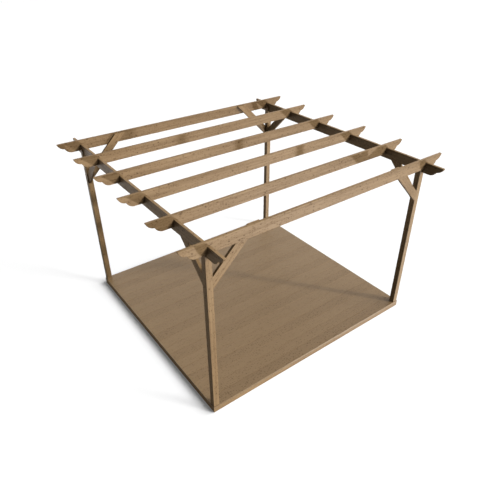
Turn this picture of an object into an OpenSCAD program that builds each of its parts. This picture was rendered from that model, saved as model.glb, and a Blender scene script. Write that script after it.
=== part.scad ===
// Square timber pergola on a low timber deck: four slotted posts carry two beams,
// six rafters are cross-lapped over the beams, and eight braces stiffen the corners.
// X runs along the rafters, Y along the beams, Z up. Millimetres.
// The origin is on the ground, under the middle of the deck.

/* [Deck] */
// Length of the deck boards, along X
deck_length = 3134; // [2400:2:4800]
// Width of one deck board
board_w = 142; // [90:1:180]
// Thickness of a deck board
board_t = 28; // [20:1:40]
// Gap left between two deck boards
board_gap = 2; // [2:0.5:10]
// Number of deck boards, laid side by side along Y
board_count = 21; // [14:1:32]
// Height of the frame under the boards
frame_h = 55; // [40:1:150]
// Thickness of the rims and joists of that frame
frame_t = 38; // [25:1:60]
// Number of joists between the side rims
joist_count = 8; // [5:1:14]

/* [Posts] */
// Side of the square posts
post_size = 70; // [60:1:120]
// Distance from the deck's edge to the posts
post_inset = 7; // [0:1:60]
// Clear height from the deck to the underside of the beams
clear_height = 2001; // [1900:1:2500]
// Depth of the slot in a post's top that takes the beam
slot_depth = 81; // [40:1:100]
// How far the slot is moved outwards from the post's middle
slot_offset = 5; // [0:1:10]

/* [Beams and rafters] */
// Depth of the beams and rafters
timber_h = 132; // [120:1:180]
// Thickness of the beams, rafters and braces
timber_t = 31; // [22:1:40]
// How far beams and rafters reach past the posts
overhang = 275; // [240:1:420]
// How far the rafters stand above the beams
rafter_rise = 50; // [30:1:70]
// Spacing of the four inner rafters
rafter_pitch = 619; // [450:1:700]
// How much less the rafters reach past the right posts than past the left ones
rafter_trim = 25; // [0:1:40]
// Side clearance of the slots and notches
fit_gap = 0.3; // [0.1:0.1:1]

/* [Scroll ends] */
// Radius of the two rounds cut on each end, as a share of the timber's depth
round_share = 0.75; // [0.58:0.01:1]
// Slope left at the end of each round, in degrees
round_slope = 5; // [2:1:12]
// Height of the square nose at the tip
nose_h = 5; // [2:1:15]
// Depth of the cusp between the two rounds below the top edge, as a share of the timber's depth
cusp_share = 0.545; // [0.45:0.005:0.6]

/* [Braces] */
// Width of a brace
brace_w = 98; // [60:1:120]
// Distance from a beam's underside down to the lower corner of a rafter brace
brace_reach = 380; // [300:1:600]
// How far the top of a rafter brace stays below the rafter's top
brace_drop = 10; // [0:1:40]
// Distance from a beam's underside down to the lower corner of the brace under it
beam_brace_reach = 392; // [300:1:600]

/* [Hidden] */
$fn = 96;

// Deck
board_pitch = board_w + board_gap;
deck_width = board_count * board_pitch - board_gap;
deck_top = frame_h + board_t;
rim_x = deck_length / 2 - frame_t / 2;
rim_y = deck_width / 2 - frame_t / 2;
inner_width = deck_width - 2 * frame_t;
joist_pitch = 2 * rim_x / (joist_count + 1);

// Posts
post_x = deck_length / 2 - post_inset - post_size / 2;
post_y = deck_width / 2 - post_inset - post_size / 2;
post_face_x = post_x + post_size / 2;
post_face_y = post_y + post_size / 2;
post_inner_x = post_x - post_size / 2;
post_inner_y = post_y - post_size / 2;
post_h = clear_height + slot_depth;

// Beams and rafters
beam_x = post_x + slot_offset;
beam_z = deck_top + clear_height;
rafter_z = beam_z + rafter_rise;
beam_length = 2 * (post_face_y + overhang);
rafter_length = 2 * (post_face_x + overhang) - rafter_trim;
rafter_x = -rafter_trim / 2;
notch_depth = (timber_h - rafter_rise) / 2;
notch_w = timber_t + 2 * fit_gap;
end_rafter_y = post_face_y + timber_t / 2;
rafter_ys = concat(
    [-end_rafter_y],
    [for (i = [0:3]) (i - 1.5) * rafter_pitch],
    [end_rafter_y]
);

// Scroll ends: each round drops from its steep start to where it is nearly level
scroll_r = round_share * timber_h;
cusp_h = cusp_share * timber_h;
upper_drop = cusp_h - nose_h;
lower_drop = timber_h - cusp_h;
upper_run = round_run(upper_drop);
lower_run = round_run(lower_drop);
round_height = scroll_r * cos(round_slope);
upper_round_x = upper_run + scroll_r * sin(round_slope);
lower_round_x = upper_round_x + lower_run;

// Braces: slope 45 degrees, so a cut across one is longer than its width
brace_cut = brace_w * sqrt(2);
rafter_brace_low = beam_z - brace_reach;
rafter_brace_rise = rafter_z + timber_h - brace_drop - rafter_brace_low;
rafter_brace_y = post_face_y - timber_t / 2;
beam_brace_low = beam_z - beam_brace_reach;

// Timber colours
beam_colour = [0.66, 0.53, 0.39];
post_colour = [0.62, 0.49, 0.36];
brace_colour = [0.68, 0.55, 0.41];
board_colour = [0.55, 0.46, 0.36];
frame_colour = [0.58, 0.45, 0.32];

// Block with its middle over x, y and its underside at z
module block(x, y, z, size) {
    translate([x - size.x / 2, y - size.y / 2, z])
        cube(size);
}

// Length along the timber of a round that drops by this much
function round_run(drop) =
    scroll_r * (sin(acos(cos(round_slope) - drop / scroll_r)) - sin(round_slope));

// Waste of one scroll end, its tip at x = 0: a block past the tip, less the two rounds
module scroll_waste() {
    difference() {
        translate([-scroll_r, -scroll_r])
            square([scroll_r + lower_round_x, 2 * scroll_r + timber_h]);
        translate([upper_round_x, lower_drop + round_height])
            circle(scroll_r);
        translate([lower_round_x, round_height])
            circle(scroll_r);
    }
}

// Side view of a beam or rafter, its middle at x = 0 and its underside at y = 0
module timber_outline(length) {
    difference() {
        translate([-length / 2, 0])
            square([length, timber_h]);
        for (side = [0, 1])
            mirror([side, 0])
                translate([-length / 2, 0])
                    scroll_waste();
    }
}

// Whole timber with a scroll at both ends, along X, its underside at z = 0
module scrolled_timber(length) {
    rotate([90, 0, 0])
        translate([0, 0, -timber_t / 2])
            linear_extrude(timber_t)
                timber_outline(length);
}

// Post with its slot, which runs right through along Y
module post(side_x, side_y) {
    color(post_colour)
        difference() {
            block(side_x * post_x, side_y * post_y, deck_top, [post_size, post_size, post_h]);
            block(side_x * beam_x, side_y * post_y, beam_z, [notch_w, 2 * post_size, 2 * slot_depth]);
        }
}

// Beam with a notch in its top edge for each rafter
module beam(side) {
    color(beam_colour)
        difference() {
            translate([side * beam_x, 0, beam_z])
                rotate([0, 0, 90])
                    scrolled_timber(beam_length);
            for (y = rafter_ys)
                block(side * beam_x, y, beam_z + timber_h - notch_depth,
                    [2 * timber_t, notch_w, 2 * notch_depth]);
        }
}

// Rafter with a notch in its lower edge for each beam
module rafter(index) {
    color(beam_colour)
        difference() {
            translate([rafter_x, rafter_ys[index], rafter_z])
                scrolled_timber(rafter_length);
            for (side = [-1, 1])
                block(side * beam_x, rafter_ys[index], rafter_z - notch_depth,
                    [notch_w, 2 * timber_t, 2 * notch_depth]);
        }
}

// Side view of a brace: plumb cut on the post at x = 0, level cut at the top
module brace_outline(rise) {
    polygon([[0, 0], [rise, rise], [rise - brace_cut, rise], [0, brace_cut]]);
}

// Brace between a post and an end rafter, flush with the post's outer face
module rafter_brace(side_x, side_y) {
    color(brace_colour)
        translate([side_x * post_inner_x, side_y * rafter_brace_y + timber_t / 2, rafter_brace_low])
            mirror([side_x > 0 ? 1 : 0, 0, 0])
                rotate([90, 0, 0])
                    linear_extrude(timber_t)
                        brace_outline(rafter_brace_rise);
}

// Brace between a post and the underside of its beam, in the beam's own plane
module beam_brace(side_x, side_y) {
    color(brace_colour)
        translate([side_x * beam_x - timber_t / 2, side_y * post_inner_y, beam_brace_low])
            mirror([0, side_y > 0 ? 1 : 0, 0])
                rotate([90, 0, 90])
                    linear_extrude(timber_t)
                        brace_outline(beam_brace_reach);
}

// Rim along X, under the front or back board
module long_rim(side) {
    color(frame_colour)
        block(0, side * rim_y, 0, [deck_length, frame_t, frame_h]);
}

// Rim along Y, between the two long rims
module side_rim(side) {
    color(frame_colour)
        block(side * rim_x, 0, 0, [frame_t, inner_width, frame_h]);
}

// Joists along Y, evenly spaced between the side rims
module deck_joists() {
    color(frame_colour)
        for (i = [1:joist_count])
            block(i * joist_pitch - rim_x, 0, 0, [frame_t, inner_width, frame_h]);
}

// Boards along X, from the front edge to the back edge
module deck_boards() {
    color(board_colour)
        for (i = [0:board_count - 1])
            block(0, (board_w - deck_width) / 2 + i * board_pitch, frame_h,
                [deck_length, board_w, board_t]);
}

post(-1, -1);  // front_left_post
post(1, -1);  // front_right_post
post(-1, 1);  // back_left_post
post(1, 1);  // back_right_post
beam(-1);  // left_beam
beam(1);  // right_beam
rafter(0);  // front_end_rafter
rafter(1);  // inner_rafter_1
rafter(2);  // inner_rafter_2
rafter(3);  // inner_rafter_3
rafter(4);  // inner_rafter_4
rafter(5);  // back_end_rafter
rafter_brace(-1, -1);  // front_left_rafter_brace
rafter_brace(1, -1);  // front_right_rafter_brace
rafter_brace(-1, 1);  // back_left_rafter_brace
rafter_brace(1, 1);  // back_right_rafter_brace
beam_brace(-1, -1);  // front_left_beam_brace
beam_brace(1, -1);  // front_right_beam_brace
beam_brace(-1, 1);  // back_left_beam_brace
beam_brace(1, 1);  // back_right_beam_brace
long_rim(-1);  // front_rim
long_rim(1);  // back_rim
side_rim(-1);  // left_rim
side_rim(1);  // right_rim
deck_joists();
deck_boards();
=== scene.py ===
"""Timber pergola on a low deck: eased timbers, decking, studio floor, lamps and camera.

Metres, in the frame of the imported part: X along the rafters, Y along the beams, Z up.
"""

import math

import bpy
import numpy as np
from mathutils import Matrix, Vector


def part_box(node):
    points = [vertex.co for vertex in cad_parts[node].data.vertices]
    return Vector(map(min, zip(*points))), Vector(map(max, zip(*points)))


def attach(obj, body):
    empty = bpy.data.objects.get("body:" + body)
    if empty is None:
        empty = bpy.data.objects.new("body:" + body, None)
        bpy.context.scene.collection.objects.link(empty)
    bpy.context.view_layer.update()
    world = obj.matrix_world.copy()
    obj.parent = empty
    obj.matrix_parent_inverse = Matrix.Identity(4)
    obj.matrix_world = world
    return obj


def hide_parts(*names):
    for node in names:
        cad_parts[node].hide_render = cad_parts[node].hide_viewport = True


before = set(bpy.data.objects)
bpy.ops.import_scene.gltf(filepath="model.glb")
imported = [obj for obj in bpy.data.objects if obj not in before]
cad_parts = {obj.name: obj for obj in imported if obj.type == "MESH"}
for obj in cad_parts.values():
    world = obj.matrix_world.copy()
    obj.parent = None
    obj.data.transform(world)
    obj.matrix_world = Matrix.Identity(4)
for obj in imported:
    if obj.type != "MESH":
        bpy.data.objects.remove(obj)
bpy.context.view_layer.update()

# Sizes of the timbers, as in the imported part
BOARD_W, BOARD_T, BOARD_GAP, BOARD_COUNT = 0.142, 0.028, 0.002, 21
FRAME_H, FRAME_T, JOIST_COUNT = 0.055, 0.038, 8
POST, SLOT_DEPTH, SLOT_OFFSET = 0.070, 0.081, 0.005
TIMBER_H, TIMBER_T, FIT_GAP = 0.132, 0.031, 0.0003
RAFTER_RISE, RAFTER_PITCH = 0.050, 0.619
SCROLL_R, ROUND_SLOPE, NOSE_H, CUSP_H = 0.75 * TIMBER_H, math.radians(5.0), 0.005, 0.545 * TIMBER_H
BRACE_W, BRACE_REACH, BRACE_DROP, BEAM_BRACE_REACH = 0.098, 0.380, 0.010, 0.392

DECK_HIGH = np.array(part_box("deck_boards")[1])
POST_LOW, POST_HIGH = (np.array(c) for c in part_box("front_right_post"))
BEAM_LOW, BEAM_HIGH = (np.array(c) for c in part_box("right_beam"))
RAFTER_LOW, RAFTER_HIGH = (np.array(c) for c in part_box("back_end_rafter"))
DECK_TOP = DECK_HIGH[2]
POST_X, POST_Y = (POST_LOW[0] + POST_HIGH[0]) / 2, -(POST_LOW[1] + POST_HIGH[1]) / 2
BEAM_X, BEAM_Z = (BEAM_LOW[0] + BEAM_HIGH[0]) / 2, BEAM_LOW[2]
RAFTER_Z = RAFTER_LOW[2]
END_RAFTER_Y = (RAFTER_LOW[1] + RAFTER_HIGH[1]) / 2
RAFTER_MID_X = (RAFTER_LOW[0] + RAFTER_HIGH[0]) / 2
RAFTER_HALF = (RAFTER_HIGH[0] - RAFTER_LOW[0]) / 2
RAFTER_YS = np.array([-END_RAFTER_Y, *((np.arange(4) - 1.5) * RAFTER_PITCH), END_RAFTER_Y])
NOTCH_W = TIMBER_T + 2 * FIT_GAP
NOTCH_D = (TIMBER_H - RAFTER_RISE) / 2
RAFTER_BRACE_LOW = BEAM_Z - BRACE_REACH
RAFTER_BRACE_RISE = RAFTER_Z + TIMBER_H - BRACE_DROP - RAFTER_BRACE_LOW
BEAM_BRACE_LOW = BEAM_Z - BEAM_BRACE_REACH

# Eased edges: their radius, the flat band beside them and their steps; each third deck board is rounder
ARRIS, EDGE_BAND, ARRIS_STEPS = 0.0015, 0.002, 3
BOARD_ARRISES = np.resize((0.0018, 0.0007, 0.0007), BOARD_COUNT)

# Largest share of a short side, and of the thickness, that an eased edge and its band take up
SIDE_SHARE, THICKNESS_SHARE = 0.4, 0.45

# Turn between two faces past which their edge is drawn sharp
SHARP_ANGLE = math.radians(12.0)

# Scroll ends: steps of each round, and the flat stretch kept after the lower one
ROUND_STEPS, FLAT_AFTER_SCROLL = 14, 0.012

# Grain: how far the heart line may lie from a timber's middle, its least distance, and the spread of tones
HEART_REACH, HEART_CLEAR, TONE_SPREAD = np.array([40.0, 0.11, 0.09]), 0.02, 0.45

rng = np.random.default_rng(20)


# Outlines

def ease_corners(loop, radius, steps=ARRIS_STEPS, sharpest=40.0):
    """Replaces each outward corner of a closed outline by a short curve.

    The curve is the quadratic blend (1-s)^2 A + 2 s (1-s) C + s^2 B, where C is the corner and
    A and B lie one radius before and after it, or less where a side is short. Inward corners and
    those that turn by less than sharpest degrees keep their one point.
    """
    before = loop - np.roll(loop, 1, axis=0)
    after = np.roll(loop, -1, axis=0) - loop
    long_before = np.linalg.norm(before, axis=1, keepdims=True)
    long_after = np.linalg.norm(after, axis=1, keepdims=True)
    before, after = before / long_before, after / long_after
    turn = np.arctan2(before[:, 0] * after[:, 1] - before[:, 1] * after[:, 0], (before * after).sum(1))
    outward = turn > math.radians(sharpest)
    reach = np.minimum(radius, SIDE_SHARE * np.minimum(long_before, long_after))
    s = np.linspace(0.0, 1.0, steps + 1)[None, :, None]
    first, last = (loop - before * reach)[:, None], (loop + after * reach)[:, None]
    curve = (1 - s) ** 2 * first + 2 * s * (1 - s) * loop[:, None] + s ** 2 * last
    curve[~outward] = loop[~outward][:, None]
    keep = np.ones(curve.shape[:2], bool)
    keep[~outward, 1:] = False
    return curve[keep]


def inset_loop(loop, inset):
    """Moves every side of a closed outline inwards by inset; moved sides meet at mitred corners."""
    side = np.roll(loop, -1, axis=0) - loop
    side = side / np.linalg.norm(side, axis=1, keepdims=True)
    normal = np.stack([-side[:, 1], side[:, 0]], axis=1)
    back = np.roll(normal, 1, axis=0)
    mitre = (normal + back) / (1 + (normal * back).sum(1, keepdims=True))
    return loop + inset * mitre


def box_outline(u0, u1, v0, v1):
    """Rectangle between two corners, anticlockwise."""
    return np.array([[u0, v0], [u1, v0], [u1, v1], [u0, v1]])


def round_points(end_u, end_v, drop):
    """One round of a scroll end: an arc of radius SCROLL_R from its steep start to its nearly level end.

    u = cu - R sin(a), v = cv - R cos(a), with a running from the start angle down to ROUND_SLOPE.
    """
    start = math.acos(math.cos(ROUND_SLOPE) - drop / SCROLL_R)
    a = np.linspace(start, ROUND_SLOPE, ROUND_STEPS + 1)
    u = end_u + SCROLL_R * math.sin(ROUND_SLOPE) - SCROLL_R * np.sin(a)
    v = end_v + SCROLL_R * math.cos(ROUND_SLOPE) - SCROLL_R * np.cos(a)
    return np.stack([u, v], axis=1)


def round_run(drop):
    """Length along the timber that a round of this drop takes up."""
    start = math.acos(math.cos(ROUND_SLOPE) - drop / SCROLL_R)
    return SCROLL_R * (math.sin(start) - math.sin(ROUND_SLOPE))


def scroll_end(tip_u):
    """Left end of a beam or rafter from its top corner to its underside: nose, upper round, lower round."""
    upper_drop, lower_drop = CUSP_H - NOSE_H, TIMBER_H - CUSP_H
    cusp_u = tip_u + round_run(upper_drop)
    foot_u = cusp_u + round_run(lower_drop)
    upper = round_points(cusp_u, lower_drop, upper_drop)
    lower = round_points(foot_u, 0.0, lower_drop)
    return np.concatenate([[[tip_u, TIMBER_H]], upper, lower[1:], [[foot_u + FLAT_AFTER_SCROLL, 0.0]]])


def notches(centres, edge_v, depth):
    """Square notches along one edge, four points each, in the order of the centres along the outline."""
    step = np.sign(depth) * NOTCH_W / 2
    u = np.asarray(centres)[:, None] + np.array([-step, -step, step, step])[None]
    v = np.broadcast_to(edge_v + np.array([0.0, depth, depth, 0.0]), u.shape)
    return np.stack([u, v], axis=2).reshape(-1, 2)


def scrolled_outline(half_length, under=(), over=()):
    """Side view of a beam or rafter with a scroll at both ends and notches under or over it."""
    left = scroll_end(-half_length)
    right = left[::-1] * [-1, 1]
    lower = notches(np.sort(under), 0.0, NOTCH_D) if len(under) else np.zeros((0, 2))
    upper = notches(np.sort(over)[::-1], TIMBER_H, -NOTCH_D) if len(over) else np.zeros((0, 2))
    return np.concatenate([left, lower, right, upper])


def post_outline(side):
    """Front view of a post: two cheeks stand beside the slot that takes the beam."""
    half, slot = POST / 2, NOTCH_W / 2
    mid = side * SLOT_OFFSET
    top, bed = POST_HIGH[2], POST_HIGH[2] - SLOT_DEPTH
    return np.array([[-half, DECK_TOP], [half, DECK_TOP], [half, top], [mid + slot, top],
                     [mid + slot, bed], [mid - slot, bed], [mid - slot, top], [-half, top]])


def brace_outline(rise):
    """Brace at 45 degrees: plumb cut on the post at u = 0, level cut at the top."""
    cut = BRACE_W * math.sqrt(2)
    return np.array([[0.0, 0.0], [rise, rise], [rise - cut, rise], [0.0, cut]])


# Timber surfaces

def timber(outline, thick, arris, origin, u_axis, v_axis, grain_turn=0.0, tone=None):
    """Closed surface of one timber with eased edges, as points, quads, caps and attributes.

    The outline is carried across the thickness as rings. Near each face the ring moves in by
    arris (1 - sin f) while its depth moves by arris (1 - cos f), f from 0 to 90 degrees, which
    rounds the edge; a further ring one EDGE_BAND in from it keeps the large faces flat.
    The grain attribute is (along, across, depth) measured from a heart line chosen for the timber.
    The edge attribute is 1 on the eased edges, the tone is one value for the whole timber, and the
    tread attribute is 1 on the last face and 0 elsewhere.
    """
    u_axis, v_axis = np.array(u_axis, float), np.array(v_axis, float)
    w_axis = np.cross(u_axis, v_axis)
    f = np.linspace(0.0, math.pi / 2, ARRIS_STEPS + 1)
    inset = np.concatenate([[arris + EDGE_BAND], arris * (1 - np.sin(f)), [0.0]])
    band_end = min(arris + EDGE_BAND, thick * THICKNESS_SHARE)
    depth = np.concatenate([[0.0], arris * (1 - np.cos(f)), [band_end]])
    worn = np.concatenate([[0.0], np.ones(ARRIS_STEPS + 1), [0.0]])
    inset = np.concatenate([inset, inset[::-1]])
    depth = np.concatenate([depth - thick / 2, thick / 2 - depth[::-1]])
    worn = np.concatenate([worn, worn[::-1]])
    rings = np.stack([ease_corners(inset_loop(outline, d), arris) for d in inset])
    count, size = rings.shape[:2]
    depths = np.broadcast_to(depth[:, None, None], (count, size, 1))
    uvw = np.concatenate([rings, depths], axis=2).reshape(-1, 3)
    points = np.array(origin, float) + uvw[:, :1] * u_axis + uvw[:, 1:2] * v_axis + uvw[:, 2:] * w_axis
    i, j = np.meshgrid(np.arange(count - 1), np.arange(size), indexing="ij")
    k = (j + 1) % size
    quads = np.stack([i * size + j, i * size + k, (i + 1) * size + k, (i + 1) * size + j], axis=2)
    quads = quads.reshape(-1, 4)
    caps = [np.arange(size)[::-1], (count - 1) * size + np.arange(size)]
    c, s = math.cos(grain_turn), math.sin(grain_turn)
    centre = outline.mean(axis=0)
    flat = uvw[:, :2] - centre
    along, across = c * flat[:, 0] + s * flat[:, 1], c * flat[:, 1] - s * flat[:, 0]
    heart = rng.uniform(-HEART_REACH, HEART_REACH)
    heart[1:] += np.sign(heart[1:]) * HEART_CLEAR
    grain = np.stack([along, across, uvw[:, 2]], axis=1) + heart
    tone = np.full(len(points), rng.uniform(-TONE_SPREAD, TONE_SPREAD) if tone is None else tone)
    tread = np.repeat(np.arange(count) >= count - 2, size)
    return points, quads, caps, grain, np.repeat(worn, size), tone, tread


# Node groups

# Cycles per metre of each pattern: along the grain, across it and into it; knots are only stretched
BEND_NOISE, STREAK_NOISE, FIBRE_NOISE = (0.9, 5.0, 5.0), (1.3, 42.0, 42.0), (14.0, 420.0, 420.0)
BROAD_NOISE, WEAR_NOISE, GRIME_NOISE = (0.8, 7.0, 7.0), (7.0, 30.0, 30.0), (1.6, 5.0, 5.0)
FLECK_CELLS = (34.0, 95.0, 95.0)
KNOT_STRETCH = (0.72, 1.0, 1.0)

# Ring gap that the wave texture draws at a scale of 1
WAVE_RING = math.pi / 10

# Noise levels between which each pattern goes from none to full
STREAK_RANGE, FIBRE_RANGE, BROAD_RANGE = (0.30, 0.70), (0.25, 0.75), (0.30, 0.70)
WEAR_RANGE, GRIME_RANGE = (0.38, 0.62), (0.45, 0.80)

# Distances from the middle at which knots, their rings and flecks go from none to full, in knots or cells
KNOT_FADE, KNOT_RING_FADE, FLECK_FADE = (1.0, 0.55), (2.4, 1.0), (0.52, 0.22)

# Power that narrows the dark part of a ring, and the soft step between cells with and without a fleck
RING_POWER, FLECK_STEP = 1.6, 0.02

# Share of the dark colour that the parts of the pattern add, and of the knot colour in a knot
FIBRE_DEPTH, TONE_DEPTH, KNOT_RING_DEPTH, GRIME_DEPTH, KNOT_SHARE = 0.16, 0.15, 0.25, 0.10, 0.85

# What dark wood and fibre add to the roughness, and what rings and knots add to the height
DARK_ROUGH, FIBRE_ROUGH, RING_HEIGHT, KNOT_HEIGHT = 0.12, 0.06, -0.35, -0.8


def new_group(name, inputs, outputs):
    """Empty shader group with the named sockets; inputs are (name, kind, value)."""
    group = bpy.data.node_groups.new(name, "ShaderNodeTree")
    for label, kind, value in inputs:
        socket = group.interface.new_socket(label, in_out="INPUT", socket_type="NodeSocket" + kind)
        if value is not None:
            socket.default_value = value
    for label, kind in outputs:
        group.interface.new_socket(label, in_out="OUTPUT", socket_type="NodeSocket" + kind)
    return group, group.nodes.new("NodeGroupInput"), group.nodes.new("NodeGroupOutput")


class Sheet:
    """Small helper that adds nodes to one tree and links them."""

    def __init__(self, tree):
        self.tree = tree

    def link(self, source, target):
        self.tree.links.new(source, target)

    def feed(self, socket, value):
        if isinstance(value, bpy.types.NodeSocket):
            self.link(value, socket)
        else:
            socket.default_value = value

    def math(self, operation, a, b=None, c=None, clamp=False):
        node = self.tree.nodes.new("ShaderNodeMath")
        node.operation, node.use_clamp = operation, clamp
        for socket, value in zip(node.inputs, (a, b, c)):
            if value is not None:
                self.feed(socket, value)
        return node.outputs[0]

    def vector(self, operation, a, b):
        node = self.tree.nodes.new("ShaderNodeVectorMath")
        node.operation = operation
        self.feed(node.inputs[0], a)
        self.feed(node.inputs[1], b)
        return node.outputs[0]

    def noise(self, coordinates, cycles, detail=2.0, rough=0.5):
        node = self.tree.nodes.new("ShaderNodeTexNoise")
        self.link(self.vector("MULTIPLY", coordinates, cycles), node.inputs["Vector"])
        node.inputs["Scale"].default_value = 1.0
        node.inputs["Detail"].default_value = detail
        node.inputs["Roughness"].default_value = rough
        return node.outputs["Fac"], node.outputs["Color"]

    def ramp(self, value, low, high, to_low=0.0, to_high=1.0):
        node = self.tree.nodes.new("ShaderNodeMapRange")
        node.interpolation_type = "SMOOTHSTEP"
        for label, v in (("Value", value), ("From Min", low), ("From Max", high),
                         ("To Min", to_low), ("To Max", to_high)):
            self.feed(node.inputs[label], v)
        return node.outputs["Result"]

    def mix(self, factor, a, b, blend="MIX"):
        node = self.tree.nodes.new("ShaderNodeMix")
        node.data_type, node.blend_type = "RGBA", blend
        self.feed(node.inputs["Factor"], factor)
        self.feed(node.inputs["A"], a)
        self.feed(node.inputs["B"], b)
        return node.outputs["Result"]


def long_grain_group():
    """Growth rings round the heart line, long streaks and fine fibre, all along the grain.

    Rings are a saw wave of the distance from the heart line, which a slow noise bends.
    Streaks, fibre and broad patches are noise stretched along the grain.
    """
    group, inp, out = new_group(
        "long_grain",
        [("Grain", "Vector", None), ("Ring Gap", "Float", 0.005), ("Bend", "Float", 0.016)],
        [("Ring", "Float"), ("Streak", "Float"), ("Fibre", "Float"), ("Broad", "Float")])
    s = Sheet(group)
    grain = inp.outputs["Grain"]
    bent = s.vector("SUBTRACT", s.noise(grain, BEND_NOISE)[1], (0.5, 0.5, 0.5))
    scale = group.nodes.new("ShaderNodeVectorMath")
    scale.operation = "SCALE"
    s.link(bent, scale.inputs[0])
    s.link(inp.outputs["Bend"], scale.inputs["Scale"])
    place = s.vector("ADD", grain, scale.outputs[0])
    wave = group.nodes.new("ShaderNodeTexWave")
    wave.wave_type, wave.rings_direction, wave.wave_profile = "RINGS", "X", "SAW"
    s.link(place, wave.inputs["Vector"])
    s.link(s.math("DIVIDE", WAVE_RING, inp.outputs["Ring Gap"]), wave.inputs["Scale"])
    wave.inputs["Distortion"].default_value = 0.0
    s.link(s.math("POWER", wave.outputs["Fac"], RING_POWER), out.inputs["Ring"])
    streak = s.noise(grain, STREAK_NOISE, 3.0, 0.55)[0]
    s.link(s.ramp(streak, *STREAK_RANGE), out.inputs["Streak"])
    fibre = s.noise(grain, FIBRE_NOISE, 2.0, 0.6)[0]
    s.link(s.ramp(fibre, *FIBRE_RANGE), out.inputs["Fibre"])
    broad = s.noise(grain, BROAD_NOISE)[0]
    s.link(s.ramp(broad, *BROAD_RANGE), out.inputs["Broad"])
    return group


def pin_knots_group():
    """Small dark knots: the distance to scattered points, cut off at the knot's size, with a soft ring."""
    group, inp, out = new_group(
        "pin_knots",
        [("Grain", "Vector", None), ("Spacing", "Float", 0.062), ("Size", "Float", 0.006)],
        [("Knot", "Float"), ("Ring", "Float")])
    s = Sheet(group)
    drawn = s.vector("MULTIPLY", inp.outputs["Grain"], KNOT_STRETCH)
    cells = group.nodes.new("ShaderNodeTexVoronoi")
    s.link(drawn, cells.inputs["Vector"])
    s.link(s.math("DIVIDE", 1.0, inp.outputs["Spacing"]), cells.inputs["Scale"])
    away = s.math("MULTIPLY", cells.outputs["Distance"], inp.outputs["Spacing"])
    away = s.math("DIVIDE", away, inp.outputs["Size"])
    s.link(s.ramp(away, *KNOT_FADE), out.inputs["Knot"])
    s.link(s.ramp(away, *KNOT_RING_FADE), out.inputs["Ring"])
    return group


def flecks_group():
    """Short dark dashes along the grain: long narrow cells, of which a share carry a dash in the middle."""
    group, inp, out = new_group(
        "flecks", [("Grain", "Vector", None), ("Share", "Float", 0.4)], [("Fleck", "Float")])
    s = Sheet(group)
    cells = group.nodes.new("ShaderNodeTexVoronoi")
    s.link(s.vector("MULTIPLY", inp.outputs["Grain"], FLECK_CELLS), cells.inputs["Vector"])
    cells.inputs["Scale"].default_value = 1.0
    pick = group.nodes.new("ShaderNodeSeparateColor")
    s.link(cells.outputs["Color"], pick.inputs[0])
    share = inp.outputs["Share"]
    chosen = s.ramp(pick.outputs[0], share, s.math("ADD", share, FLECK_STEP), 1.0, 0.0)
    dash = s.ramp(cells.outputs["Distance"], *FLECK_FADE)
    s.link(s.math("MULTIPLY", chosen, dash), out.inputs["Fleck"])
    return group


def worn_edge_group():
    """Edge wear: the eased edge broken up by noise, and patches of grime between."""
    group, inp, out = new_group(
        "worn_edge",
        [("Grain", "Vector", None), ("Edge", "Float", 0.0)],
        [("Wear", "Float"), ("Grime", "Float")])
    s = Sheet(group)
    patch = s.noise(inp.outputs["Grain"], WEAR_NOISE, 3.0, 0.6)[0]
    s.link(s.math("MULTIPLY", inp.outputs["Edge"], s.ramp(patch, *WEAR_RANGE)), out.inputs["Wear"])
    cloud = s.noise(inp.outputs["Grain"], GRIME_NOISE, 4.0, 0.6)[0]
    s.link(s.ramp(cloud, *GRIME_RANGE), out.inputs["Grime"])
    return group


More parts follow.
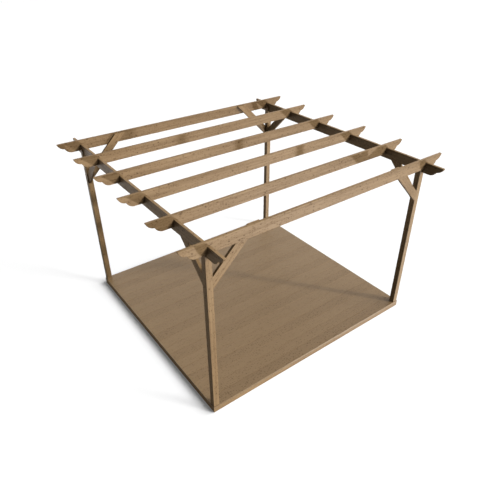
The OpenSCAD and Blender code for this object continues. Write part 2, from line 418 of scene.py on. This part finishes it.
def timber_colour_group():
    """Puts the parts of the pattern together into a colour, a roughness and a height.

    Each part adds its depth to the share of the dark colour, and wear takes from it. Flecks are deeper
    on dark timbers, by the gain times the tone. The tread tint colours the upper face.
    """
    group, inp, out = new_group(
        "timber_colour",
        [("Pale", "Color", (0.4, 0.25, 0.12, 1)), ("Dark", "Color", (0.2, 0.12, 0.06, 1)),
         ("Knot Colour", "Color", (0.07, 0.04, 0.02, 1)), ("Tread Tint", "Color", (1, 1, 1, 1)),
         ("Ring", "Float", 0.0), ("Streak", "Float", 0.0), ("Fibre", "Float", 0.0), ("Broad", "Float", 0.0),
         ("Fleck", "Float", 0.0), ("Knot", "Float", 0.0), ("Knot Ring", "Float", 0.0),
         ("Wear", "Float", 0.0), ("Grime", "Float", 0.0), ("Tone", "Float", 0.0), ("Tread", "Float", 0.0),
         ("Ring Depth", "Float", 0.3), ("Streak Depth", "Float", 0.3), ("Broad Depth", "Float", 0.18),
         ("Fleck Depth", "Float", 0.3), ("Fleck Gain", "Float", 0.0), ("Wear Depth", "Float", 0.2),
         ("Roughness", "Float", 0.55)],
        [("Color", "Color"), ("Roughness", "Float"), ("Height", "Float")])
    s = Sheet(group)
    g = inp.outputs
    depth = s.math("MULTIPLY", g["Ring"], g["Ring Depth"])
    depth = s.math("MULTIPLY_ADD", g["Streak"], g["Streak Depth"], depth)
    depth = s.math("MULTIPLY_ADD", g["Fibre"], FIBRE_DEPTH, depth)
    depth = s.math("MULTIPLY_ADD", g["Broad"], g["Broad Depth"], depth)
    depth = s.math("MULTIPLY_ADD", g["Tone"], TONE_DEPTH, depth)
    depth = s.math("MULTIPLY_ADD", g["Knot Ring"], KNOT_RING_DEPTH, depth)
    depth = s.math("MULTIPLY_ADD", g["Grime"], GRIME_DEPTH, depth)
    fleck = s.math("MULTIPLY", g["Fleck"], s.math("MULTIPLY_ADD", g["Tone"], g["Fleck Gain"], 1.0))
    depth = s.math("MULTIPLY_ADD", fleck, g["Fleck Depth"], depth)
    depth = s.math("SUBTRACT", depth, s.math("MULTIPLY", g["Wear"], g["Wear Depth"]), clamp=True)
    wood = s.mix(depth, g["Pale"], g["Dark"])
    wood = s.mix(g["Tread"], wood, g["Tread Tint"], "MULTIPLY")
    s.link(s.mix(s.math("MULTIPLY", g["Knot"], KNOT_SHARE), wood, g["Knot Colour"]), out.inputs["Color"])
    rough = s.math("MULTIPLY_ADD", depth, DARK_ROUGH, g["Roughness"])
    s.link(s.math("MULTIPLY_ADD", g["Fibre"], FIBRE_ROUGH, rough), out.inputs["Roughness"])
    height = s.math("MULTIPLY_ADD", g["Ring"], RING_HEIGHT, g["Fibre"])
    s.link(s.math("MULTIPLY_ADD", g["Knot"], KNOT_HEIGHT, height), out.inputs["Height"])
    return group


GROUPS = {g.name: g for g in (long_grain_group(), pin_knots_group(), flecks_group(), worn_edge_group(),
                              timber_colour_group())}


# Share of the colour that a timber hands on to the timbers round it, so that corners stay dark
BOUNCE_TINT = (0.10, 0.10, 0.10, 1.0)
BUMP_HEIGHT = 0.0006


def timber_finish(name, pale, dark, knot, ring_gap=0.0055, knot_gap=0.062, knot_size=0.006,
                  ring_depth=0.28, streak_depth=0.34, broad_depth=0.18, fleck_depth=0.45, wear_depth=0.22,
                  fleck_gain=0.0, rough=0.40, bump=0.25, sheen=0.2, tread_tint=(1.0, 1.0, 1.0, 1.0)):
    """Planed softwood in the given colours, built from the shared groups."""
    finish = bpy.data.materials.new(name)
    finish.use_nodes = True
    tree = finish.node_tree
    surface = tree.nodes["Principled BSDF"]
    s = Sheet(tree)

    def attribute(label):
        node = tree.nodes.new("ShaderNodeAttribute")
        node.attribute_name = label
        return node

    def place(label, **values):
        node = tree.nodes.new("ShaderNodeGroup")
        node.node_tree = GROUPS[label]
        for key, value in values.items():
            s.feed(node.inputs[key.replace("_", " ")], value)
        return node.outputs

    grain = attribute("grain").outputs["Vector"]
    long = place("long_grain", Grain=grain, Ring_Gap=ring_gap)
    pins = place("pin_knots", Grain=grain, Spacing=knot_gap, Size=knot_size)
    flecks = place("flecks", Grain=grain)
    worn = place("worn_edge", Grain=grain, Edge=attribute("edge").outputs["Fac"])
    colour = place("timber_colour", Pale=pale, Dark=dark, Knot_Colour=knot, Tread_Tint=tread_tint,
                   Ring=long["Ring"], Streak=long["Streak"], Fibre=long["Fibre"], Broad=long["Broad"],
                   Fleck=flecks["Fleck"], Knot=pins["Knot"], Knot_Ring=pins["Ring"],
                   Wear=worn["Wear"], Grime=worn["Grime"],
                   Tone=attribute("tone").outputs["Fac"], Tread=attribute("tread").outputs["Fac"],
                   Ring_Depth=ring_depth, Streak_Depth=streak_depth, Broad_Depth=broad_depth,
                   Fleck_Depth=fleck_depth, Fleck_Gain=fleck_gain, Wear_Depth=wear_depth, Roughness=rough)
    path = tree.nodes.new("ShaderNodeLightPath")
    bounce = s.math("MAXIMUM", path.outputs["Is Diffuse Ray"], path.outputs["Is Glossy Ray"])
    s.link(s.mix(bounce, colour["Color"], BOUNCE_TINT, "MULTIPLY"), surface.inputs["Base Color"])
    s.link(colour["Roughness"], surface.inputs["Roughness"])
    raised = tree.nodes.new("ShaderNodeBump")
    raised.inputs["Strength"].default_value = bump
    raised.inputs["Distance"].default_value = BUMP_HEIGHT
    s.link(colour["Height"], raised.inputs["Height"])
    s.link(raised.outputs["Normal"], surface.inputs["Normal"])
    surface.inputs["Specular IOR Level"].default_value = sheen
    return finish


def brown(r, g, b):
    """Linear colour from display values of 0 to 255."""
    shown = np.array([r, g, b]) / 255
    linear = np.where(shown > 0.04045, ((shown + 0.055) / 1.055) ** 2.4, shown / 12.92)
    return (*linear.tolist(), 1.0)


KNOT_BROWN = brown(74, 50, 28)
FINISHES = {
    "post_timber": timber_finish(
        "post_timber", brown(184, 151, 109), brown(126, 98, 65), KNOT_BROWN, knot_gap=0.050),
    "rafter_timber": timber_finish(
        "rafter_timber", brown(182, 150, 110), brown(123, 96, 65), KNOT_BROWN, knot_gap=0.050),
    "brace_timber": timber_finish(
        "brace_timber", brown(186, 153, 111), brown(130, 101, 67), KNOT_BROWN, knot_gap=0.055),
    "deck_timber": timber_finish(
        "deck_timber", brown(184, 151, 111), brown(128, 98, 64), KNOT_BROWN, knot_gap=0.14,
        ring_depth=0.06, streak_depth=0.05, broad_depth=0.05, fleck_depth=0.37, fleck_gain=0.5,
        wear_depth=0.0, sheen=0.75, tread_tint=(0.68, 0.69, 0.68, 1.0)),
    "frame_timber": timber_finish(
        "frame_timber", brown(184, 151, 109), brown(128, 99, 65), KNOT_BROWN),
}


# Posts, beams, rafters and braces

X, Y, Z = (1, 0, 0), (0, 1, 0), (0, 0, 1)
MINUS_X, MINUS_Y = (-1, 0, 0), (0, -1, 0)
UPRIGHT = math.pi / 2
DIAGONAL = math.pi / 4
SIDES = ((-1, "left"), (1, "right"))
ENDS = ((-1, "front"), (1, "back"))


def add_object(name, data):
    """New object in the scene's own collection."""
    added = bpy.data.objects.new(name, data)
    bpy.context.scene.collection.objects.link(added)
    return added


def dress(node, timbers, slot):
    """Puts one mesh, made of one or more timber surfaces and their attributes, in the place of its node."""
    name = node + "_timber"
    start = np.cumsum([0] + [len(t[0]) for t in timbers])
    points = np.concatenate([t[0] for t in timbers])
    faces = np.concatenate([t[1] + s for t, s in zip(timbers, start)]).tolist()
    faces += [(cap + s).tolist() for t, s in zip(timbers, start) for cap in t[2]]
    mesh = bpy.data.meshes.new(name)
    mesh.from_pydata(points.tolist(), [], faces)
    for label, kind, key, column in (("grain", "FLOAT_VECTOR", "vector", 3), ("edge", "FLOAT", "value", 4),
                                     ("tone", "FLOAT", "value", 5), ("tread", "FLOAT", "value", 6)):
        values = np.concatenate([t[column] for t in timbers]).astype(np.float32)
        mesh.attributes.new(label, kind, "POINT").data.foreach_set(key, values.ravel())
    mesh.polygons.foreach_set("use_smooth", np.ones(len(mesh.polygons), bool))
    mesh.update()
    mesh.set_sharp_from_angle(angle=SHARP_ANGLE)
    mesh.materials.append(FINISHES[slot])
    piece = add_object(name, mesh)
    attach(piece, "root")
    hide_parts(node)
    return piece


# Tones: above 0 is darker, below 0 is paler
# Post tones are painted light: the front right post is paler as a painted sheen, the back left paler as
# painted light, the front left a little darker as painted shade
POST_LIGHT_TONES = {(-1, -1): 0.1, (-1, 1): -0.9, (1, -1): -0.6, (1, 1): 0.0}
for end, end_name in ENDS:
    for side, side_name in SIDES:
        place = (side * POST_X, end * POST_Y, 0.0)
        surface = timber(post_outline(side), POST, ARRIS, place, X, Z, UPRIGHT, POST_LIGHT_TONES[end, side])
        dress(f"{end_name}_{side_name}_post", [surface], "post_timber")

BEAM_TONE = -0.8
for side, side_name in SIDES:
    outline = scrolled_outline(BEAM_HIGH[1], over=RAFTER_YS)
    surface = timber(outline, TIMBER_T, ARRIS, (side * BEAM_X, 0.0, BEAM_Z), Y, Z, tone=BEAM_TONE)
    dress(f"{side_name}_beam", [surface], "rafter_timber")

RAFTER_NODES = ["front_end_rafter", *(f"inner_rafter_{i}" for i in range(1, 5)), "back_end_rafter"]
# Rafters darken towards the back: painted shade for the light that falls off from the front rafter to the
# back one
RAFTER_SHADE_TONES = (-0.6, -0.3, 0.0, 0.4, 0.4, 1.4)
for node, y, tone in zip(RAFTER_NODES, RAFTER_YS, RAFTER_SHADE_TONES):
    outline = scrolled_outline(RAFTER_HALF, under=(-BEAM_X - RAFTER_MID_X, BEAM_X - RAFTER_MID_X))
    surface = timber(outline, TIMBER_T, ARRIS, (RAFTER_MID_X, y, RAFTER_Z), X, Z, tone=tone)
    dress(node, [surface], "rafter_timber")

for end, end_name in ENDS:
    for side, side_name in SIDES:
        inward = X if side < 0 else MINUS_X
        place = (side * (POST_X - POST / 2), end * (POST_Y + POST / 2 - TIMBER_T / 2), RAFTER_BRACE_LOW)
        surface = timber(brace_outline(RAFTER_BRACE_RISE), TIMBER_T, ARRIS, place, inward, Z, DIAGONAL)
        dress(f"{end_name}_{side_name}_rafter_brace", [surface], "brace_timber")
        inward = Y if end < 0 else MINUS_Y
        place = (side * BEAM_X, end * (POST_Y - POST / 2), BEAM_BRACE_LOW)
        surface = timber(brace_outline(BEAM_BRACE_REACH), TIMBER_T, ARRIS, place, inward, Z, DIAGONAL)
        dress(f"{end_name}_{side_name}_beam_brace", [surface], "brace_timber")

# Deck: rims, joists and boards

HALF_X, HALF_Y = DECK_HIGH[0], DECK_HIGH[1]
RIM_X, RIM_Y = HALF_X - FRAME_T / 2, HALF_Y - FRAME_T / 2
INNER_Y = HALF_Y - FRAME_T
JOIST_PITCH = 2 * RIM_X / (JOIST_COUNT + 1)
JOIST_XS = (np.arange(JOIST_COUNT) + 1) * JOIST_PITCH - RIM_X
FRAME_TONE = -0.8


def joist(x):
    """One joist or side rim along Y."""
    outline = box_outline(-INNER_Y, INNER_Y, 0.0, FRAME_H)
    return timber(outline, FRAME_T, ARRIS, (x, 0.0, 0.0), Y, Z, tone=FRAME_TONE)


deck_pieces = []
for end, end_name in ENDS:
    outline = box_outline(-HALF_X, HALF_X, 0.0, FRAME_H)
    long_rim = timber(outline, FRAME_T, ARRIS, (0.0, end * RIM_Y, 0.0), X, Z, tone=FRAME_TONE)
    deck_pieces.append(dress(f"{end_name}_rim", [long_rim], "frame_timber"))
for side, side_name in SIDES:
    deck_pieces.append(dress(f"{side_name}_rim", [joist(side * RIM_X)], "frame_timber"))
dress("deck_joists", [joist(x) for x in JOIST_XS], "frame_timber")

BOARD_YS = (np.arange(BOARD_COUNT) - (BOARD_COUNT - 1) / 2) * (BOARD_W + BOARD_GAP)
BOARD_Z = FRAME_H + BOARD_T / 2

# Boards repeat in threes, dark, mid and pale; the first few at the front are darker as painted shade, and
# each varies a little
BOARD_TRIO, FRONT_SHADE_TONE, FRONT_FALL, TONE_NOISE = (0.85, 0.30, 0.0), 0.8, 6, 0.03
BOARD_TONES = np.resize(BOARD_TRIO, BOARD_COUNT)
BOARD_TONES += FRONT_SHADE_TONE * np.linspace(1.0, 0.0, BOARD_COUNT) ** FRONT_FALL
BOARD_TONES += rng.normal(0.0, TONE_NOISE, BOARD_COUNT)
boards = [timber(box_outline(-HALF_X, HALF_X, -BOARD_W / 2, BOARD_W / 2), BOARD_T, arris,
                 (0.0, y, BOARD_Z), X, Y, tone=tone)
          for y, arris, tone in zip(BOARD_YS, BOARD_ARRISES, BOARD_TONES)]
deck_pieces.append(dress("deck_boards", boards, "deck_timber"))

# Floor and surroundings

# Floor: its white, its lift where it shows, what it gives the timbers, its share in highlights near and far
FLOOR_WHITE, FLOOR_LIFT, FLOOR_DIM = (0.8, 0.8, 0.8, 1.0), 0.13, (0.03, 0.03, 0.03, 1.0)
NEAR, FAR, NEAR_SHEEN, FAR_SHEEN = 2.8, 5.0, 0.22, 0.75
FLOOR_HALF = 40.0

# World: its strength as a light; where it shows, it has a strength of 1
SKY_LIGHT = 0.022


def rays_that_show(tree, sheen=1.0):
    """Factor that is 1 for camera and transmission rays, sheen for glossy rays and 0 for lighting rays."""
    s = Sheet(tree)
    path = tree.nodes.new("ShaderNodeLightPath")
    mirrored = s.math("MULTIPLY", path.outputs["Is Glossy Ray"], sheen)
    seen = s.math("MAXIMUM", path.outputs["Is Camera Ray"], mirrored)
    return s.math("MAXIMUM", seen, path.outputs["Is Transmission Ray"])


def floor_finish():
    """White floor that keeps the shadow, is lifted where it shows, and lights the timbers little.

    Its share in the timbers' highlights grows with the distance from the middle of the deck.
    """
    finish = bpy.data.materials.new("studio_floor")
    finish.use_nodes = True
    tree = finish.node_tree
    tree.nodes.remove(tree.nodes["Principled BSDF"])
    s = Sheet(tree)
    white = tree.nodes.new("ShaderNodeBsdfDiffuse")
    white.inputs["Color"].default_value = FLOOR_WHITE
    lift = tree.nodes.new("ShaderNodeEmission")
    lift.inputs["Strength"].default_value = FLOOR_LIFT
    shown = tree.nodes.new("ShaderNodeAddShader")
    s.link(white.outputs[0], shown.inputs[0])
    s.link(lift.outputs[0], shown.inputs[1])
    dim = tree.nodes.new("ShaderNodeBsdfDiffuse")
    dim.inputs["Color"].default_value = FLOOR_DIM
    mixed = tree.nodes.new("ShaderNodeMixShader")
    place = tree.nodes.new("ShaderNodeTexCoord").outputs["Object"]
    away = tree.nodes.new("ShaderNodeVectorMath")
    away.operation = "LENGTH"
    s.link(place, away.inputs[0])
    sheen = s.ramp(away.outputs["Value"], NEAR, FAR, NEAR_SHEEN, FAR_SHEEN)
    s.link(rays_that_show(tree, sheen), mixed.inputs[0])
    s.link(dim.outputs[0], mixed.inputs[1])
    s.link(shown.outputs[0], mixed.inputs[2])
    s.link(mixed.outputs[0], tree.nodes["Material Output"].inputs["Surface"])
    return finish


floor_corners = np.array([[-1, -1, 0], [1, -1, 0], [1, 1, 0], [-1, 1, 0]]) * FLOOR_HALF
floor_mesh = bpy.data.meshes.new("studio_floor")
floor_mesh.from_pydata(floor_corners.tolist(), [], [(0, 1, 2, 3)])
floor_mesh.materials.append(floor_finish())
floor = add_object("studio_floor", floor_mesh)
floor.visible_shadow = False

world = bpy.data.worlds.new("studio")
bpy.context.scene.world = world
world.use_nodes = True
sky = world.node_tree.nodes["Background"]
sky_sheet = Sheet(world.node_tree)
sky_level = sky_sheet.ramp(rays_that_show(world.node_tree), 0.0, 1.0, SKY_LIGHT, 1.0)
sky_sheet.link(sky_level, sky.inputs["Strength"])
sky.inputs["Color"].default_value = (1.0, 1.0, 1.0, 1.0)


def light_group(name, members, state="INCLUDE"):
    """Collection that links a lamp to its members alone (INCLUDE) or to all but its members (EXCLUDE)."""
    group = bpy.data.collections.new(name)
    for member in members:
        group.objects.link(member)
    for member in group.collection_objects:
        member.light_linking.link_state = state
    return group


FLOOR_ALONE = light_group("floor_alone", [floor])
ALL_BUT_FLOOR = light_group("all_but_floor", [floor], "EXCLUDE")
DECK_ALONE = light_group("deck_alone", deck_pieces)


def aim(holder, azimuth, elevation):
    """Turns a lamp or camera to look from an azimuth and an elevation, in degrees, to the opposite side.

    The azimuth runs from the front, -Y, towards +X.
    """
    a, e = math.radians(azimuth), math.radians(elevation)
    towards = Vector((math.sin(a) * math.cos(e), -math.cos(a) * math.cos(e), math.sin(e)))
    holder.rotation_mode = "QUATERNION"
    holder.rotation_quaternion = (-towards).to_track_quat("-Z", "Y")


def lamp(name, azimuth, elevation, level, spread, lit, blocked_by=None):
    """Distant soft lamp; level is the brightness it gives a white surface that faces it, angles are degrees.

    Lamps above the horizon give no mirror highlight, so that the deck keeps its colour against them.
    """
    light = bpy.data.lights.new(name, "SUN")
    light.energy = level * math.pi
    light.angle = math.radians(spread)
    holder = add_object(name, light)
    aim(holder, azimuth, elevation)
    holder.visible_glossy = elevation <= 0.0
    holder.light_linking.receiver_collection = lit
    holder.light_linking.blocker_collection = blocked_by


# Lamps: name, azimuth, elevation, level, spread, what they light and what alone blocks them
lamp("key_lamp", 37.8, 28.0, 0.44, 3.5, ALL_BUT_FLOOR)
lamp("low_lamp", 38.8, -28.0, 0.49, 2.0, ALL_BUT_FLOOR)
lamp("soft_lamp", 42.0, 42.0, 0.45, 40.0, ALL_BUT_FLOOR)
lamp("side_lamp", 85.0, 35.0, 0.38, 50.0, ALL_BUT_FLOOR)
lamp("left_lamp", -110.0, 0.0, 0.065, 60.0, ALL_BUT_FLOOR)
lamp("back_lamp", 180.0, -14.0, 0.40, 16.0, ALL_BUT_FLOOR)
lamp("floor_key_lamp", 37.8, 28.0, 0.42, 13.0, FLOOR_ALONE)
lamp("floor_soft_lamp", 60.0, 36.5, 1.65, 66.0, FLOOR_ALONE, DECK_ALONE)

# Camera at the photograph's view

CAMERA_AT, CAMERA_AZIMUTH, CAMERA_ELEVATION = (-3.3513, -4.5663, 4.4847), -36.778, 33.271
LENS_MM, SENSOR_MM = 34.7186, 36.0
NEAREST, FARTHEST = 0.05, 200.0
camera_data = bpy.data.cameras.new("camera")
camera_data.lens, camera_data.sensor_width = LENS_MM, SENSOR_MM
camera_data.clip_start, camera_data.clip_end = NEAREST, FARTHEST
camera = add_object("camera", camera_data)
camera.location = CAMERA_AT
aim(camera, CAMERA_AZIMUTH, CAMERA_ELEVATION)
bpy.context.scene.camera = camera
bpy.context.scene.view_settings.view_transform = "Standard"
